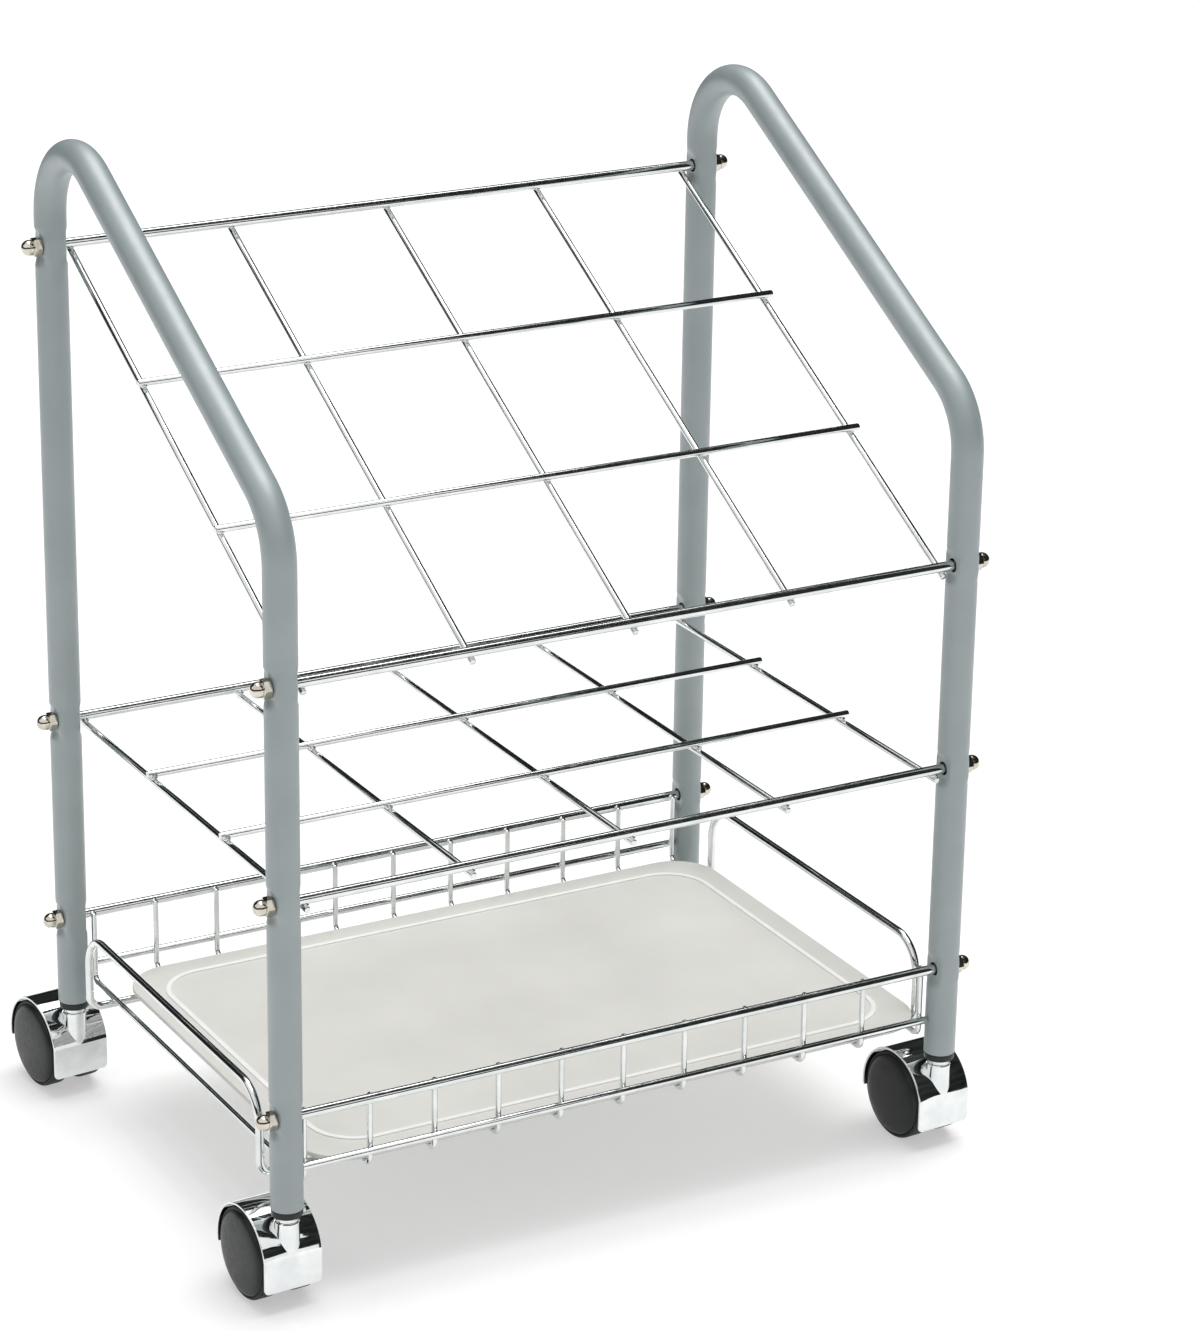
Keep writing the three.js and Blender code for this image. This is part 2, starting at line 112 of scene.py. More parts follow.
def mottle(finish, scale, detail=3.0, stretch=(1, 1, 1)):
    """Noise on Object coordinates, with a stretch where the pattern has a direction."""
    nodes, links = finish.node_tree.nodes, finish.node_tree.links
    place = nodes.new("ShaderNodeTexCoord")
    mapping = nodes.new("ShaderNodeMapping")
    mapping.inputs["Scale"].default_value = stretch
    noise = nodes.new("ShaderNodeTexNoise")
    noise.inputs["Scale"].default_value = scale
    noise.inputs["Detail"].default_value = detail
    links.new(place.outputs["Object"], mapping.inputs["Vector"])
    links.new(mapping.outputs["Vector"], noise.inputs["Vector"])
    return noise.outputs["Fac"]


def vary_colour(finish, shader, pattern, dark, light):
    ramp = finish.node_tree.nodes.new("ShaderNodeValToRGB")
    ramp.color_ramp.elements[0].position = 0.32
    ramp.color_ramp.elements[0].color = dark
    ramp.color_ramp.elements[1].position = 0.68
    ramp.color_ramp.elements[1].color = light
    finish.node_tree.links.new(pattern, ramp.inputs["Fac"])
    finish.node_tree.links.new(ramp.outputs["Color"], shader.inputs["Base Color"])


def vary_gloss(finish, shader, pattern, low, high):
    spread = finish.node_tree.nodes.new("ShaderNodeMapRange")
    spread.inputs["From Min"].default_value = 0.3
    spread.inputs["From Max"].default_value = 0.7
    spread.inputs["To Min"].default_value = low
    spread.inputs["To Max"].default_value = high
    finish.node_tree.links.new(pattern, spread.inputs["Value"])
    finish.node_tree.links.new(spread.outputs["Result"], shader.inputs["Roughness"])


def raise_skin(finish, shader, pattern, strength, depth):
    bump = finish.node_tree.nodes.new("ShaderNodeBump")
    bump.inputs["Strength"].default_value = strength
    bump.inputs["Distance"].default_value = depth
    finish.node_tree.links.new(pattern, bump.inputs["Height"])
    finish.node_tree.links.new(bump.outputs["Normal"], shader.inputs["Normal"])

# %% [markdown]
# The tubes are powder coated: a blue-grey satin paint with a faint orange peel and a little
# cloudiness. The peel is a bump of about a millimetre across.

# %% Satin tube paint
tube_paint, shader = new_finish("tube_paint", specular=1.0)
shader.inputs["Coat Weight"].default_value = 1.0
shader.inputs["Coat Roughness"].default_value = 0.55
shader.inputs["Coat IOR"].default_value = 1.75
vary_colour(tube_paint, shader, mottle(tube_paint, 28),
            linear(137, 150, 152), linear(146, 159, 161))
vary_gloss(tube_paint, shader, mottle(tube_paint, 160), 0.42, 0.50)
raise_skin(tube_paint, shader, mottle(tube_paint, 900, 2), 0.12, 0.00012)
print("paint for both side tubes")

# %% [markdown]
# The grids and basket are welded first and chrome plated after, so the wire is bright all
# over. The plating on drawn wire is never quite even: the gloss drifts along it, and faint
# marks of the drawing die stay under the chrome.

# %% Bright wire plating
wire_chrome, shader = new_finish("wire_chrome", metallic=1.0)
vary_colour(wire_chrome, shader, mottle(wire_chrome, 70),
            linear(214, 218, 217), linear(232, 234, 233))
vary_gloss(wire_chrome, shader, mottle(wire_chrome, 240), 0.05, 0.13)
raise_skin(wire_chrome, shader, mottle(wire_chrome, 1400, 2), 0.05, 0.00008)

# %% [markdown]
# The caster hoods are pressed sheet and polished before plating, so they mirror the room
# more sharply than the wire. A long slow bump keeps the mirror from looking ground flat.

# %% Polished hood plating
hood_chrome, shader = new_finish("hood_chrome", metallic=1.0)
vary_colour(hood_chrome, shader, mottle(hood_chrome, 90),
            linear(222, 226, 226), linear(238, 240, 240))
vary_gloss(hood_chrome, shader, mottle(hood_chrome, 300), 0.02, 0.07)
raise_skin(hood_chrome, shader, mottle(hood_chrome, 110, 1), 0.06, 0.0006)

# %% [markdown]
# The cap nuts have the warmer, softer look of nickel.

# %% Nickel
nickel, shader = new_finish("nut_nickel", metallic=1.0)
vary_colour(nickel, shader, mottle(nickel, 200),
            linear(196, 190, 176), linear(218, 213, 201))
vary_gloss(nickel, shader, mottle(nickel, 500), 0.07, 0.16)
raise_skin(nickel, shader, mottle(nickel, 1800, 2), 0.08, 0.00006)

# %% [markdown]
# The tray is a warm light grey moulding with a slight sheen and a fine eroded grain. The
# bead that runs round it is white, and stands out as a clear line.

# %% Tray plastic
tray_plastic, shader = new_finish("tray_plastic", specular=0.42)
vary_colour(tray_plastic, shader, mottle(tray_plastic, 14),
            linear(219, 218, 213), linear(226, 225, 220))
vary_gloss(tray_plastic, shader, mottle(tray_plastic, 120), 0.30, 0.40)
raise_skin(tray_plastic, shader, mottle(tray_plastic, 2200, 2), 0.10, 0.00006)

bead_white, shader = new_finish("bead_white", specular=0.45)
vary_colour(bead_white, shader, mottle(bead_white, 60),
            linear(243, 243, 240), linear(250, 250, 248))
vary_gloss(bead_white, shader, mottle(bead_white, 160), 0.32, 0.42)
raise_skin(bead_white, shader, mottle(bead_white, 2200, 2), 0.08, 0.00005)

# %% [markdown]
# The wheels are dark grey nylon. The running surface is duller, as it is scuffed by the floor, and
# it is a shade darker than the discs: painted shade for the dark gap between the disc and the
# hood. The sleeves that hold the stems are black.

# %% Wheel and sleeve plastics
disc_plastic, shader = new_finish("wheel_disc", specular=0.32)
vary_colour(disc_plastic, shader, mottle(disc_plastic, 120),
            linear(25, 28, 28), linear(32, 35, 35))
vary_gloss(disc_plastic, shader, mottle(disc_plastic, 260), 0.30, 0.42)
raise_skin(disc_plastic, shader, mottle(disc_plastic, 2600, 2), 0.15, 0.00008)

# Painted shade: this darker colour stands for the dark gap between the disc and the hood.
tread_painted_shade, shader = new_finish("wheel_tread_painted_shade", specular=0.4)
vary_colour(tread_painted_shade, shader, mottle(tread_painted_shade, 160),
            linear(18, 20, 20), linear(26, 28, 28))
vary_gloss(tread_painted_shade, shader, mottle(tread_painted_shade, 500), 0.45, 0.65)
raise_skin(tread_painted_shade, shader, mottle(tread_painted_shade, 1500, 3), 0.25, 0.00012)

sleeve_plastic, shader = new_finish("sleeve_plastic", specular=0.4)
vary_colour(sleeve_plastic, shader, mottle(sleeve_plastic, 200),
            linear(24, 26, 26), linear(34, 36, 36))
vary_gloss(sleeve_plastic, shader, mottle(sleeve_plastic, 400), 0.40, 0.55)
raise_skin(sleeve_plastic, shader, mottle(sleeve_plastic, 1800, 2), 0.15, 0.00008)
print("finishes:", ", ".join(sorted(m.name for m in bpy.data.materials if m.use_nodes)))

# %% [markdown]
# ## Modelling helpers
# Each piece starts as a primitive, is shaped in edit mode, and ends at the origin with its
# place in its mesh. Operators act on whatever is selected, so a step begins by clearing the
# selection and then picks its vertices or faces in code, by their place.

# %% Selecting, placing and dressing
def clear_selection():
    bpy.ops.object.select_all(action="DESELECT")


def select_only(piece):
    clear_selection()
    piece.select_set(True)
    bpy.context.view_layer.objects.active = piece


def edit_all():
    bpy.ops.object.mode_set(mode="EDIT")
    bpy.ops.mesh.select_mode(type="VERT")
    bpy.ops.mesh.select_all(action="SELECT")


def pick(piece, kind, test):
    """Select the vertices (VERT) or faces (FACE) of a piece that pass a test, in edit mode."""
    bpy.ops.object.mode_set(mode="EDIT")
    bpy.ops.mesh.select_mode(type=kind)
    bpy.ops.mesh.select_all(action="DESELECT")
    bpy.ops.object.mode_set(mode="OBJECT")
    for part in piece.data.vertices if kind == "VERT" else piece.data.polygons:
        part.select = test(part)
    bpy.ops.object.mode_set(mode="EDIT")


def apply_place():
    bpy.ops.object.transform_apply(location=True, rotation=True, scale=True)


def shade(piece, degrees):
    """Smooth shading, apart from edges that turn by more than an angle."""
    select_only(piece)
    bpy.ops.object.shade_smooth_by_angle(angle=math.radians(degrees))


def close_up():
    """Merge doubles, fill open ends, turn faces outwards and shade by angle."""
    edit_all()
    bpy.ops.mesh.remove_doubles(threshold=0.000001)
    bpy.ops.mesh.select_all(action="SELECT")
    bpy.ops.mesh.fill_holes(sides=0)
    bpy.ops.mesh.select_all(action="SELECT")
    bpy.ops.mesh.normals_make_consistent(inside=False)
    bpy.ops.object.mode_set(mode="OBJECT")
    bpy.ops.object.shade_smooth_by_angle(angle=math.radians(35))


def add_modifier(piece, kind, **settings):
    modifier = piece.modifiers.new(kind.lower(), kind)
    for setting, value in settings.items():
        setattr(modifier, setting, value)
    bpy.context.view_layer.objects.active = piece
    bpy.ops.object.modifier_apply(modifier=modifier.name)


def fuse(piece, tool, operation):
    """Apply a Boolean with another closed body and throw that body away."""
    add_modifier(piece, "BOOLEAN", object=tool, operation=operation, solver="EXACT")
    bpy.data.objects.remove(tool)


def copy_of(piece):
    select_only(piece)
    bpy.ops.object.duplicate(linked=False)
    return bpy.context.object


def move_to(piece, place, spin_z=0.0):
    select_only(piece)
    piece.rotation_euler = (0, 0, spin_z)
    piece.location = place
    apply_place()


def join(pieces):
    clear_selection()
    for part in pieces:
        part.select_set(True)
    bpy.context.view_layer.objects.active = pieces[0]
    bpy.ops.object.join()
    return pieces[0]


def dress(piece, name, finish, body, node):
    """Name a piece, give it its finish, and let it stand for a CAD node on a body."""
    piece.name = name
    piece.data.name = name
    if not piece.data.materials:
        piece.data.materials.append(finish)
    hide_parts(node)
    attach(piece, body)

# %% [markdown]
# Two more helpers do most of the work. Round parts are "turned": a circle is extruded along
# an axis and scaled at each step, as a lathe would follow a profile. Bent wire and tube is
# a circle that is extruded along straight runs and spun round its bends. With no window the
# spin operator turns against its axis, so the axis is given the other way round.

# %% Turning and bending
def pull(offset):
    """Extrude what is selected by an offset."""
    bpy.ops.mesh.extrude_region_move(TRANSFORM_OT_translate={"value": tuple(offset)})


def turned(profile, sides, start=(0, 0, 0), along=(0, 0, 1)):
    """Follow (radius, height) pairs up the axis that leaves start in a direction."""
    clear_selection()
    radius, height = profile[0]
    bpy.ops.mesh.primitive_circle_add(vertices=sides, radius=radius, location=(0, 0, height))
    piece = bpy.context.object
    apply_place()
    edit_all()
    for next_radius, next_height in profile[1:]:
        pull((0, 0, next_height - height))
        ratio = next_radius / radius
        bpy.ops.transform.resize(value=(ratio, ratio, 1), center_override=(0, 0, next_height))
        radius, height = next_radius, next_height
    bpy.ops.object.mode_set(mode="OBJECT")
    piece.rotation_euler = Vector(along).to_track_quat("Z", "Y").to_euler()
    piece.location = start
    apply_place()
    close_up()
    return piece


def bend(here, before, after, radius, steps):
    """Spin the open end from one direction into another, and say where it ends."""
    axis = before.cross(after).normalized()
    centre = here + radius * axis.cross(before)
    angle = before.angle(after)
    bpy.ops.mesh.spin(steps=steps, angle=angle, center=centre, axis=-axis)
    return centre + Quaternion(axis, angle) @ (here - centre)


def bent_wire(corners, radii, wire_radius, sides, steps):
    """A round wire along straight runs between corners, each bent to its radius."""
    clear_selection()
    corners = [Vector(corner) for corner in corners]
    ways = [(b - a).normalized() for a, b in zip(corners, corners[1:])]
    bpy.ops.mesh.primitive_circle_add(vertices=sides, radius=wire_radius, location=corners[0],
                                      rotation=ways[0].to_track_quat("Z", "Y").to_euler())
    piece = bpy.context.object
    apply_place()
    edit_all()
    here = corners[0]
    for corner, radius, before, after in zip(corners[1:], radii, ways, ways[1:]):
        straight_end = corner - before * radius * math.tan(before.angle(after) / 2)
        pull(straight_end - here)
        here = bend(straight_end, before, after, radius, steps)
    pull(corners[-1] - here)
    bpy.ops.object.mode_set(mode="OBJECT")
    close_up()
    return piece

# %% [markdown]
# ## Side tubes
# Each side is one tube: up the rear leg, round a wide bend, down the slope, and round a
# second bend into the front leg. The places of the legs and bolts come from the CAD boxes.

# %% Sizes of the tubes
TUBE_RADIUS = 9.525 * MM
TUBE_WALL = 1.2 * MM
BEND_RADIUS = 45 * MM
SLOPE = math.radians(28.6)
LEVELS = ("basket", "middle", "upper")


def centre_of(node):
    low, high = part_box(node)
    return (Vector(low) + Vector(high)) / 2


tube_low, tube_high = (Vector(corner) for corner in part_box("side_frame_right"))
leg_x = (tube_low.x + tube_high.x) / 2
front_y, rear_y = tube_low.y + TUBE_RADIUS, tube_high.y - TUBE_RADIUS
mid_y = (front_y + rear_y) / 2
leg_bottom, tube_top = tube_low.z, tube_high.z
front_seats = [centre_of(f"nut_right_{level}_front").z for level in LEVELS]
rear_seats = [centre_of(f"nut_right_{level}_rear").z for level in LEVELS]
top_turn = math.pi / 2 + SLOPE
rear_corner_z = tube_top - TUBE_RADIUS + BEND_RADIUS * (math.tan(top_turn / 2) - 1)
front_corner_z = rear_corner_z - (rear_y - front_y) * math.tan(SLOPE)
print("legs at x", round(leg_x / MM, 2), "y", round(front_y / MM, 2), round(rear_y / MM, 2))

# %% [markdown]
# At each bolt the tube is pressed in, so that the cap nut sits in a shallow seat and the rod
# enters a dimple inside. The legs get close rings there, and the seats are made by
# flattening picked vertices with a soft falloff. A Solidify modifier then gives the sheet
# its wall, and a Boolean drills the dimples for the rods.

# %% Bend, press and thicken a side tube
RING_STEP = 1.1 * MM
RINGS_EACH_WAY = 13
SEAT_DEPTH, SEAT_HALF, SEAT_SOFT = 3 * MM, 5.2 * MM, 7.5 * MM
DIMPLE_DEPTH, DIMPLE_HALF, DIMPLE_SOFT = 2.7 * MM, 4.8 * MM, 7 * MM
DRILL_RADIUS, DRILL_CLEAR, DRILL_LENGTH = 4.2 * MM, 2 * MM, 6 * MM


def leg_rings(seats):
    steps = range(-RINGS_EACH_WAY, RINGS_EACH_WAY + 1)
    return [seat + step * RING_STEP for seat in seats for step in steps]


def press_flat(tube, side, y, z, face, depth, half_height, soft):
    """Flatten the tube to a plane near a bolt; face is 1 outside the cart and -1 inside."""
    plane = leg_x + face * (TUBE_RADIUS - depth)

    def on_seat(vertex):
        out = face * (side * vertex.co.x - leg_x) > TUBE_RADIUS - depth
        return out and abs(vertex.co.y - y) < TUBE_RADIUS and abs(vertex.co.z - z) < half_height

    pick(tube, "VERT", on_seat)
    bpy.ops.transform.resize(value=(0, 1, 1), center_override=(side * plane, y, z),
                             use_proportional_edit=True, use_proportional_connected=True,
                             proportional_edit_falloff="SMOOTH", proportional_size=soft)
    bpy.ops.object.mode_set(mode="OBJECT")


def side_tube(side):
    clear_selection()
    x = side * leg_x
    here = Vector((x, rear_y, leg_bottom))
    bpy.ops.mesh.primitive_circle_add(vertices=48, radius=TUBE_RADIUS, location=here)
    tube = bpy.context.object
    apply_place()
    edit_all()
    up, down = Vector((0, 0, 1)), Vector((0, 0, -1))
    slant = Vector((0, -math.cos(SLOPE), -math.sin(SLOPE)))
    rear_bend_z = rear_corner_z - BEND_RADIUS * math.tan(top_turn / 2)
    for z in leg_rings(rear_seats) + [rear_bend_z]:
        pull((0, 0, z - here.z))
        here.z = z
    here = bend(here, up, slant, BEND_RADIUS, 30)
    front_turn = math.pi / 2 - SLOPE
    front_corner = Vector((x, front_y, front_corner_z))
    slant_end = front_corner - slant * BEND_RADIUS * math.tan(front_turn / 2)
    pull(slant_end - here)
    here = bend(slant_end, slant, down, BEND_RADIUS, 18)
    for z in list(reversed(leg_rings(front_seats))) + [leg_bottom]:
        pull((0, 0, z - here.z))
        here.z = z
    bpy.ops.mesh.select_all(action="SELECT")
    bpy.ops.mesh.normals_make_consistent(inside=False)
    bpy.ops.object.mode_set(mode="OBJECT")
    for y, seats in ((front_y, front_seats), (rear_y, rear_seats)):
        for z in seats:
            press_flat(tube, side, y, z, 1, SEAT_DEPTH, SEAT_HALF, SEAT_SOFT)
            press_flat(tube, side, y, z, -1, DIMPLE_DEPTH, DIMPLE_HALF, DIMPLE_SOFT)
    add_modifier(tube, "SOLIDIFY", thickness=TUBE_WALL, offset=-1)
    inside = side * (leg_x - TUBE_RADIUS - DRILL_CLEAR)
    drill = [(DRILL_RADIUS, 0), (DRILL_RADIUS, DRILL_LENGTH)]
    for y, seats in ((front_y, front_seats), (rear_y, rear_seats)):
        for z in seats:
            fuse(tube, turned(drill, 24, (inside, y, z), (side, 0, 0)), "DIFFERENCE")
    shade(tube, 40)
    return tube


for side, name in ((-1, "left"), (1, "right")):
    tube = side_tube(side)
    dress(tube, f"tube_{name}", tube_paint, "cart_frame", f"side_frame_{name}")
    print(tube.name, "has", len(tube.data.polygons), "faces")

# %% [markdown]
# ## Rods
# The front and rear wires of both grids are thicker rods. Each end is turned down to a
# thread that goes through the tube into a cap nut. The rod itself ends just inside the
# drilled dimple of the tube. One rod is turned and then copied to its four places.

# %% Grid rods
ROD_RADIUS = 3 * MM
THREAD_RADIUS = 2.5 * MM
CHAMFER = 0.5 * MM
ROD_ENTRY = 1.0 * MM
rod_low, rod_high = (Vector(corner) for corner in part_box("upper_rod_front"))
thread_half = (rod_high.x - rod_low.x) / 2
rod_half = leg_x - TUBE_RADIUS + DIMPLE_DEPTH + ROD_ENTRY
rod_profile = [
    (THREAD_RADIUS - CHAMFER, -thread_half),
    (THREAD_RADIUS, -thread_half + CHAMFER),
    (THREAD_RADIUS, -rod_half),
    (ROD_RADIUS, -rod_half),
    (ROD_RADIUS, rod_half),
    (THREAD_RADIUS, rod_half),
    (THREAD_RADIUS, thread_half - CHAMFER),
    (THREAD_RADIUS - CHAMFER, thread_half),
]
plain_rod = turned(rod_profile, 28, along=(1, 0, 0))
for level in ("upper", "middle"):
    for place in ("front", "rear"):
        rod = copy_of(plain_rod)
        move_to(rod, centre_of(f"{level}_rod_{place}"))
        dress(rod, f"{level}_{place}_rod", wire_chrome, "cart_frame",
              f"{level}_rod_{place}")
print("rods run", round(2 * rod_half / MM, 1), "mm between the tubes")

# %% [markdown]
# ## Grid wires
# Between the rods lie two thinner wires, and five cross wires are welded under all four.
# A wire is turned with slightly rounded ends, as a cropped and plated end looks. At each
# crossing a small flattened bead stands for the weld. The cross wire with its four welds is
# made once for each grid and copied along the cart.

# %% Long and cross wires
WIRE_RADIUS = 2.25 * MM
CROSS_RADIUS = 2 * MM
CROSS_CROP = 1.2 * MM
HALF_WELD_GAP = 0.15 * MM
GRID_WELD = (2.5 * MM, 2.5 * MM, 1.5 * MM)


def straight_wire(start, end, radius):
    """A wire whose cropped ends are rounded over about a third of its radius."""
    start, end = Vector(start), Vector(end)
    length = (end - start).length
    nip = 0.35 * radius
    tip = [(0.62 * radius, 0), (0.9 * radius, 0.3 * nip), (radius, nip)]
    far_tip = [(width, length - height) for width, height in reversed(tip)]
    return turned(tip + far_tip, 20, start, end - start)


def weld(place, size):
    """A small bead, pulled flat where two wires fused."""
    clear_selection()
    bpy.ops.mesh.primitive_uv_sphere_add(segments=14, ring_count=8, radius=1,
                                         location=place, scale=size)
    bead = bpy.context.object
    apply_place()
    bpy.ops.object.shade_smooth()
    return bead


def cross_wire(level, tilt):
    """The first cross wire of a grid, with a weld under each of the four long wires."""
    low, high = (Vector(corner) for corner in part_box(f"{level}_cross_1"))
    x = (low.x + high.x) / 2
    lean = Vector((0, CROSS_RADIUS * math.sin(tilt), CROSS_RADIUS * math.cos(tilt)))
    start = Vector((x, low.y + lean.y, low.z + lean.z))
    end = Vector((x, high.y - lean.y, high.z - lean.z))
    crop = (end - start).normalized() * CROSS_CROP
    parts = [straight_wire(start + crop, end - crop, CROSS_RADIUS)]
    below = Vector((0, math.sin(tilt), -math.cos(tilt)))
    for node, radius in (("rod_front", ROD_RADIUS), ("wire_front", WIRE_RADIUS),
                         ("wire_rear", WIRE_RADIUS), ("rod_rear", ROD_RADIUS)):
        place = centre_of(f"{level}_{node}")
        place.x = x
        parts.append(weld(place + below * (radius + HALF_WELD_GAP), GRID_WELD))
    return join(parts)


for level, tilt in (("upper", SLOPE), ("middle", 0.0)):
    for place in ("front", "rear"):
        low, high = (Vector(corner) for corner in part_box(f"{level}_wire_{place}"))
        middle = (low + high) / 2
        wire = straight_wire((low.x, middle.y, middle.z), (high.x, middle.y, middle.z), WIRE_RADIUS)
        dress(wire, f"{level}_{place}_wire", wire_chrome, "cart_frame",
              f"{level}_wire_{place}")
    first = cross_wire(level, tilt)
    first_x = centre_of(f"{level}_cross_1").x
    for number in range(1, 6):
        node = f"{level}_cross_{number}"
        wire = copy_of(first)
        move_to(wire, (centre_of(node).x - first_x, 0, 0))
        dress(wire, f"{level}_crosswire_{number}", wire_chrome, "cart_frame", node)
    bpy.data.objects.remove(first)
print("two grids of four long and five cross wires")

# %% [markdown]
# ## Basket
# Eleven wires are bent into wide U shapes and welded inside two threaded rails, with a
# lower wire on the outside of each long side. In reality that is one welded piece, so all
# of it is joined into one object. One U is bent and copied along the rails.

# %% U wires, rails and lower wires
U_RADIUS = 1.75 * MM
U_BEND = 5 * MM
U_COUNT = 11
U_END_GAP = 1.8 * MM
U_TIP_DROP = 2.5 * MM
U_WELD = (2.1 * MM, 1.0 * MM, 2.1 * MM)
U_WELD_SINK = 0.1 * MM
TIP_ROUND = 0.7 * MM
WELD_BITE = 0.3 * MM
LOWER_DROP = 33.4 * MM
LOWER_END_GAP = 0.5 * MM
basket_low, basket_high = (Vector(corner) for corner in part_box("basket"))
rail_z = front_seats[0]
u_y = rear_y - ROD_RADIUS - U_RADIUS + WELD_BITE - mid_y
u_top, u_floor = basket_high.z - U_TIP_DROP, basket_low.z + U_RADIUS
u_end_x = leg_x - TUBE_RADIUS - U_END_GAP - U_RADIUS
lower_y = u_y + U_RADIUS + WIRE_RADIUS - WELD_BITE
lower_z = rail_z - LOWER_DROP
lower_half = leg_x - TUBE_RADIUS - LOWER_END_GAP
u_step = 2 * u_end_x / (U_COUNT - 1)

u_shape = [(-u_end_x, mid_y - u_y, u_top), (-u_end_x, mid_y - u_y, u_floor),
           (-u_end_x, mid_y + u_y, u_floor), (-u_end_x, mid_y + u_y, u_top)]
first = bent_wire(u_shape, [U_BEND, U_BEND], U_RADIUS, 18, 10)
pick(first, "FACE", lambda face: len(face.vertices) > 4)
bpy.ops.mesh.bevel(offset=TIP_ROUND, segments=2, affect="EDGES")
bpy.ops.object.mode_set(mode="OBJECT")
weld_y = u_y + U_RADIUS - U_WELD_SINK
beads = [weld((-u_end_x, mid_y + face * weld_y, z), U_WELD)
         for face in (-1, 1) for z in (rail_z, lower_z)]
first = join([first] + beads)
parts = [first]
for number in range(1, U_COUNT):
    wire = copy_of(first)
    move_to(wire, (number * u_step, 0, 0))
    parts.append(wire)
for face in (-1, 1):
    rail = copy_of(plain_rod)
    move_to(rail, (0, mid_y + face * (rear_y - mid_y), rail_z))
    parts.append(rail)
    y = mid_y + face * lower_y
    parts.append(straight_wire((-lower_half, y, lower_z), (lower_half, y, lower_z), WIRE_RADIUS))
basket = join(parts)
dress(basket, "basket_wires", wire_chrome, "cart_frame", "basket")
bpy.data.objects.remove(plain_rod)
print("basket of", U_COUNT, "wires,", len(basket.data.polygons), "faces")

# %% [markdown]
# ## Basket hoop
# A thicker wire runs once round the basket, under its floor and up over each end, where its
# top is the side rail. It is bent as one closed loop, and merging doubles joins its ends.

# %% Closed hoop
HOOP_RADIUS = 2.5 * MM
HOOP_BENDS = [8 * MM, 22 * MM, 22 * MM, 8 * MM]
hoop_low, hoop_high = (Vector(corner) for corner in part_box("basket_hoop"))
x, y = hoop_high.x - HOOP_RADIUS, hoop_high.y - HOOP_RADIUS - mid_y
low_z, high_z = hoop_low.z + HOOP_RADIUS, hoop_high.z - HOOP_RADIUS
loop = [(0, -y, low_z), (x, -y, low_z), (x, -y, high_z), (x, y, high_z), (x, y, low_z),
        (-x, y, low_z), (-x, y, high_z), (-x, -y, high_z), (-x, -y, low_z), (0, -y, low_z)]
loop = [(a, b + mid_y, c) for a, b, c in loop]
hoop = bent_wire(loop, HOOP_BENDS * 2, HOOP_RADIUS, 24, 14)
dress(hoop, "basket_loop", wire_chrome, "cart_frame", "basket_hoop")
print("hoop", [round(side / MM, 1) for side in hoop.dimensions])

# %% [markdown]
# ## Tray
# The tray is a flat moulded plate with rounded corners that lies loose on the basket floor.
# A raised bead runs round it inside the edge. Both start as a plane whose corners are
# bevelled: the plate is extruded, and the bead is an inset ring that is extruded.

# %% Plate and bead
TRAY_CORNER = 30 * MM
TRAY_EDGE = 0.6 * MM
BEAD_HEIGHT = 0.8 * MM
BEAD_WIDTH = 3.2 * MM
BEAD_INSET = 15.5 * MM
BEAD_EDGE = 0.35 * MM
BEAD_SINK = 0.2 * MM
tray_low, tray_high = (Vector(corner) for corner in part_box("tray"))


def rounded_sheet(low_x, high_x, low_y, high_y, z):
    clear_selection()
    middle = ((low_x + high_x) / 2, (low_y + high_y) / 2, z)
    bpy.ops.mesh.primitive_plane_add(size=1, location=middle)
    sheet = bpy.context.object
    sheet.scale = (high_x - low_x, high_y - low_y, 1)
    apply_place()
    edit_all()
    bpy.ops.mesh.bevel(offset=TRAY_CORNER, segments=16, affect="VERTICES")
    bpy.ops.mesh.select_all(action="SELECT")
    return sheet


def soften(piece, width, segments, from_angle):
    """Bevel the edges of a piece that turn by more than an angle."""
    add_modifier(piece, "BEVEL", width=width, segments=segments, limit_method="ANGLE",
                 angle_limit=math.radians(from_angle))


plate_top = tray_high.z - BEAD_HEIGHT
plate = rounded_sheet(tray_low.x, tray_high.x, tray_low.y, tray_high.y, tray_low.z)
pull((0, 0, plate_top - tray_low.z))
bpy.ops.object.mode_set(mode="OBJECT")
close_up()
soften(plate, TRAY_EDGE, 3, 60)

bead = rounded_sheet(tray_low.x + BEAD_INSET, tray_high.x - BEAD_INSET,
                     tray_low.y + BEAD_INSET, tray_high.y - BEAD_INSET, plate_top - BEAD_SINK)
bpy.ops.mesh.inset(thickness=BEAD_WIDTH)
bpy.ops.mesh.delete(type="FACE")
bpy.ops.mesh.select_all(action="SELECT")
pull((0, 0, BEAD_HEIGHT + BEAD_SINK))
bpy.ops.object.mode_set(mode="OBJECT")
close_up()
soften(bead, BEAD_EDGE, 3, 60)
plate.data.materials.append(tray_plastic)
bead.data.materials.append(bead_white)
tray = join([plate, bead])
shade(tray, 35)
dress(tray, "tray_plate", tray_plastic, "cart_frame", "tray")
print("tray", [round(side / MM, 1) for side in tray.dimensions])

# %% [markdown]
# ## Cap nuts
# A cap nut is a hexagon whose corners are turned off to a cone, with a dome on top. The
# turned body is cut by a six-sided prism, which leaves the curved edges that a real
# chamfer has, and the dome is fused on. The nut is made once and copied twelve times.

